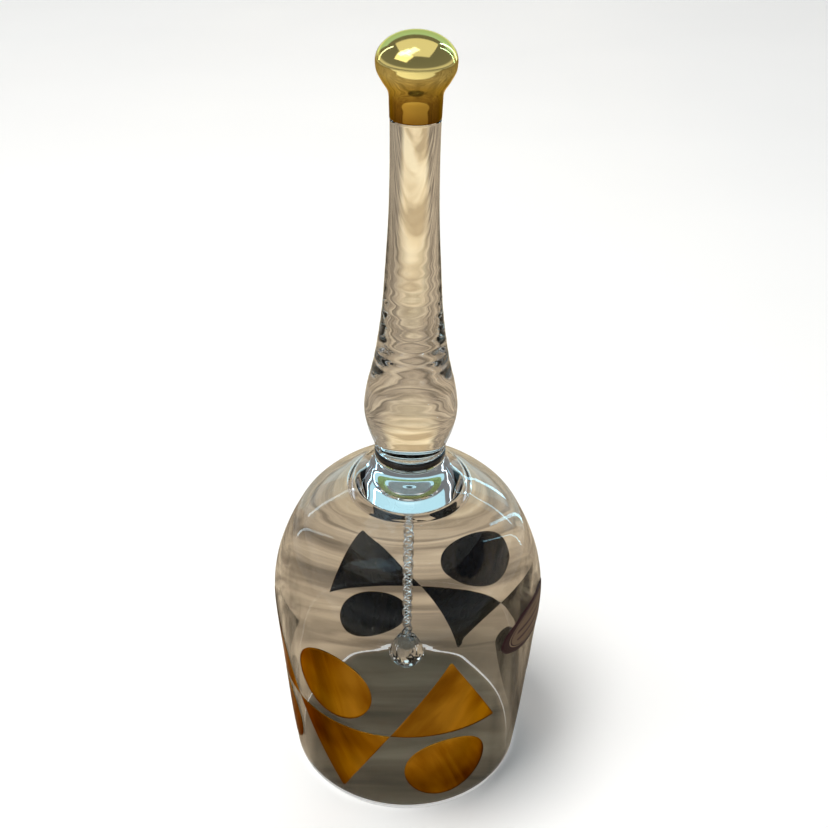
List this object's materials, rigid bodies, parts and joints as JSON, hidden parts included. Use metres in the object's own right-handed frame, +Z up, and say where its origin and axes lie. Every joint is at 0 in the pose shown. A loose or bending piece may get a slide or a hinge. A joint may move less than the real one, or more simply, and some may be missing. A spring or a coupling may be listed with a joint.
{
  "type": "glass hand bell",
  "caption": "Hand bell with a blown clear-glass bowl, gilded shapes round its wall, a solid glass handle with a gilded knob, and a faceted crystal clapper on a fine chain.",
  "frame": {"origin": "centre of the rim, on the plane that the bell stands on", "axes": "+Z up along the bell's axis towards the knob; -Y faces the viewer of the front pair of triangles"},
  "size_m": [0.0757, 0.0748, 0.21],
  "materials": {
    "clear_glass": "fire-polished clear",
    "black_enamel": "gloss black",
    "gold_lustre": "mirror-bright fired gold",
    "label_paper": "satin",
    "brass": "polished",
    "white_pad": "matt",
    "dark_steel": "dull plated",
    "silver_chain": "bright plated",
    "crystal": "cut and polished"
  },
  "bodies": {
    "glass_body": {"bowl": "clear_glass", "neck_ring": "black_enamel", "handle": "clear_glass", "gold_finial": "gold_lustre", "gold_triangle_1": "gold_lustre", "gold_triangle_2": "gold_lustre", "gold_triangle_3": "gold_lustre", "gold_triangle_4": "gold_lustre", "gold_triangle_5": "gold_lustre", "gold_triangle_6": "gold_lustre", "gold_dot_1": "gold_lustre", "gold_dot_2": "gold_lustre", "gold_dot_3": "gold_lustre", "gold_dot_4": "gold_lustre", "gold_dot_5": "gold_lustre", "gold_dot_6": "gold_lustre", "oval_label": "label_paper", "anchor_washer": "brass", "anchor_pad": "white_pad", "anchor_eye": "dark_steel"},
    "chain_link_01": {"chain_link_01": "silver_chain"},
    "chain_link_02": {"chain_link_02": "silver_chain"},
    "chain_link_03": {"chain_link_03": "silver_chain"},
    "chain_link_04": {"chain_link_04": "silver_chain"},
    "chain_link_05": {"chain_link_05": "silver_chain"},
    "chain_link_06": {"chain_link_06": "silver_chain"},
    "chain_link_07": {"chain_link_07": "silver_chain"},
    "chain_link_08": {"chain_link_08": "silver_chain"},
    "chain_link_09": {"chain_link_09": "silver_chain"},
    "chain_link_10": {"chain_link_10": "silver_chain"},
    "chain_link_11": {"chain_link_11": "silver_chain"},
    "chain_link_12": {"chain_link_12": "silver_chain"},
    "chain_link_13": {"chain_link_13": "silver_chain"},
    "chain_link_14": {"chain_link_14": "silver_chain"},
    "chain_link_15": {"chain_link_15": "silver_chain"},
    "chain_link_16": {"chain_link_16": "silver_chain"},
    "chain_link_17": {"chain_link_17": "silver_chain"},
    "chain_link_18": {"chain_link_18": "silver_chain"},
    "chain_link_19": {"chain_link_19": "silver_chain"},
    "crystal_ring": {"crystal_ring": "dark_steel"},
    "crystal_drop": {"crystal_drop": "crystal"}
  },
  "joints": [
    {"name": "chain_link_01_swing", "type": "hinge", "parent": "glass_body", "child": "chain_link_01", "pos_m": [0, 0, 0.08225], "axis": [0.7071, 0.7071, 0], "range_deg": [-28, 28]},
    {"name": "chain_link_02_swing", "type": "hinge", "parent": "chain_link_01", "child": "chain_link_02", "pos_m": [0, 0, 0.07992], "axis": [-0.7071, 0.7071, 0], "range_deg": [-26, 26]},
    {"name": "chain_link_03_swing", "type": "hinge", "parent": "chain_link_02", "child": "chain_link_03", "pos_m": [0, 0, 0.07762], "axis": [-0.7071, -0.7071, 0], "range_deg": [-20, 20]},
    {"name": "chain_link_04_swing", "type": "hinge", "parent": "chain_link_03", "child": "chain_link_04", "pos_m": [0, 0, 0.07533], "axis": [0.7071, -0.7071, 0], "range_deg": [-20, 20]},
    {"name": "chain_link_05_swing", "type": "hinge", "parent": "chain_link_04", "child": "chain_link_05", "pos_m": [0, 0, 0.07303], "axis": [0.7071, 0.7071, 0], "range_deg": [-20, 20]},
    {"name": "chain_link_06_swing", "type": "hinge", "parent": "chain_link_05", "child": "chain_link_06", "pos_m": [0, 0, 0.07072], "axis": [-0.7071, 0.7071, 0], "range_deg": [-20, 20]},
    {"name": "chain_link_07_swing", "type": "hinge", "parent": "chain_link_06", "child": "chain_link_07", "pos_m": [0, 0, 0.06842], "axis": [-0.7071, -0.7071, 0], "range_deg": [-20, 20]},
    {"name": "chain_link_08_swing", "type": "hinge", "parent": "chain_link_07", "child": "chain_link_08", "pos_m": [0, 0, 0.06613], "axis": [0.7071, -0.7071, 0], "range_deg": [-20, 20]},
    {"name": "chain_link_09_swing", "type": "hinge", "parent": "chain_link_08", "child": "chain_link_09", "pos_m": [0, 0, 0.06383], "axis": [0.7071, 0.7071, 0], "range_deg": [-20, 20]},
    {"name": "chain_link_10_swing", "type": "hinge", "parent": "chain_link_09", "child": "chain_link_10", "pos_m": [0, 0, 0.06153], "axis": [-0.7071, 0.7071, 0], "range_deg": [-20, 20]},
    {"name": "chain_link_11_swing", "type": "hinge", "parent": "chain_link_10", "child": "chain_link_11", "pos_m": [0, 0, 0.05922], "axis": [-0.7071, -0.7071, 0], "range_deg": [-20, 20]},
    {"name": "chain_link_12_swing", "type": "hinge", "parent": "chain_link_11", "child": "chain_link_12", "pos_m": [0, 0, 0.05693], "axis": [0.7071, -0.7071, 0], "range_deg": [-20, 20]},
    {"name": "chain_link_13_swing", "type": "hinge", "parent": "chain_link_12", "child": "chain_link_13", "pos_m": [0, 0, 0.05462], "axis": [0.7071, 0.7071, 0], "range_deg": [-20, 20]},
    {"name": "chain_link_14_swing", "type": "hinge", "parent": "chain_link_13", "child": "chain_link_14", "pos_m": [0, 0, 0.05233], "axis": [-0.7071, 0.7071, 0], "range_deg": [-20, 20]},
    {"name": "chain_link_15_swing", "type": "hinge", "parent": "chain_link_14", "child": "chain_link_15", "pos_m": [0, 0, 0.05003], "axis": [-0.7071, -0.7071, 0], "range_deg": [-20, 20]},
    {"name": "chain_link_16_swing", "type": "hinge", "parent": "chain_link_15", "child": "chain_link_16", "pos_m": [0, 0, 0.04772], "axis": [0.7071, -0.7071, 0], "range_deg": [-20, 20]},
    {"name": "chain_link_17_swing", "type": "hinge", "parent": "chain_link_16", "child": "chain_link_17", "pos_m": [0, 0, 0.04543], "axis": [0.7071, 0.7071, 0], "range_deg": [-20, 20]},
    {"name": "chain_link_18_swing", "type": "hinge", "parent": "chain_link_17", "child": "chain_link_18", "pos_m": [0, 0, 0.04312], "axis": [-0.7071, 0.7071, 0], "range_deg": [-20, 20]},
    {"name": "chain_link_19_swing", "type": "hinge", "parent": "chain_link_18", "child": "chain_link_19", "pos_m": [0, 0, 0.04083], "axis": [-0.7071, -0.7071, 0], "range_deg": [-20, 20]},
    {"name": "crystal_ring_swing", "type": "hinge", "parent": "chain_link_19", "child": "crystal_ring", "pos_m": [0, 0, 0.03852], "axis": [0.7071, -0.7071, 0], "range_deg": [-20, 20]},
    {"name": "crystal_drop_swing", "type": "hinge", "parent": "crystal_ring", "child": "crystal_drop", "pos_m": [0, 0, 0.0359], "axis": [0.7071, 0.7071, 0], "range_deg": [-25, 25]}
  ]
}
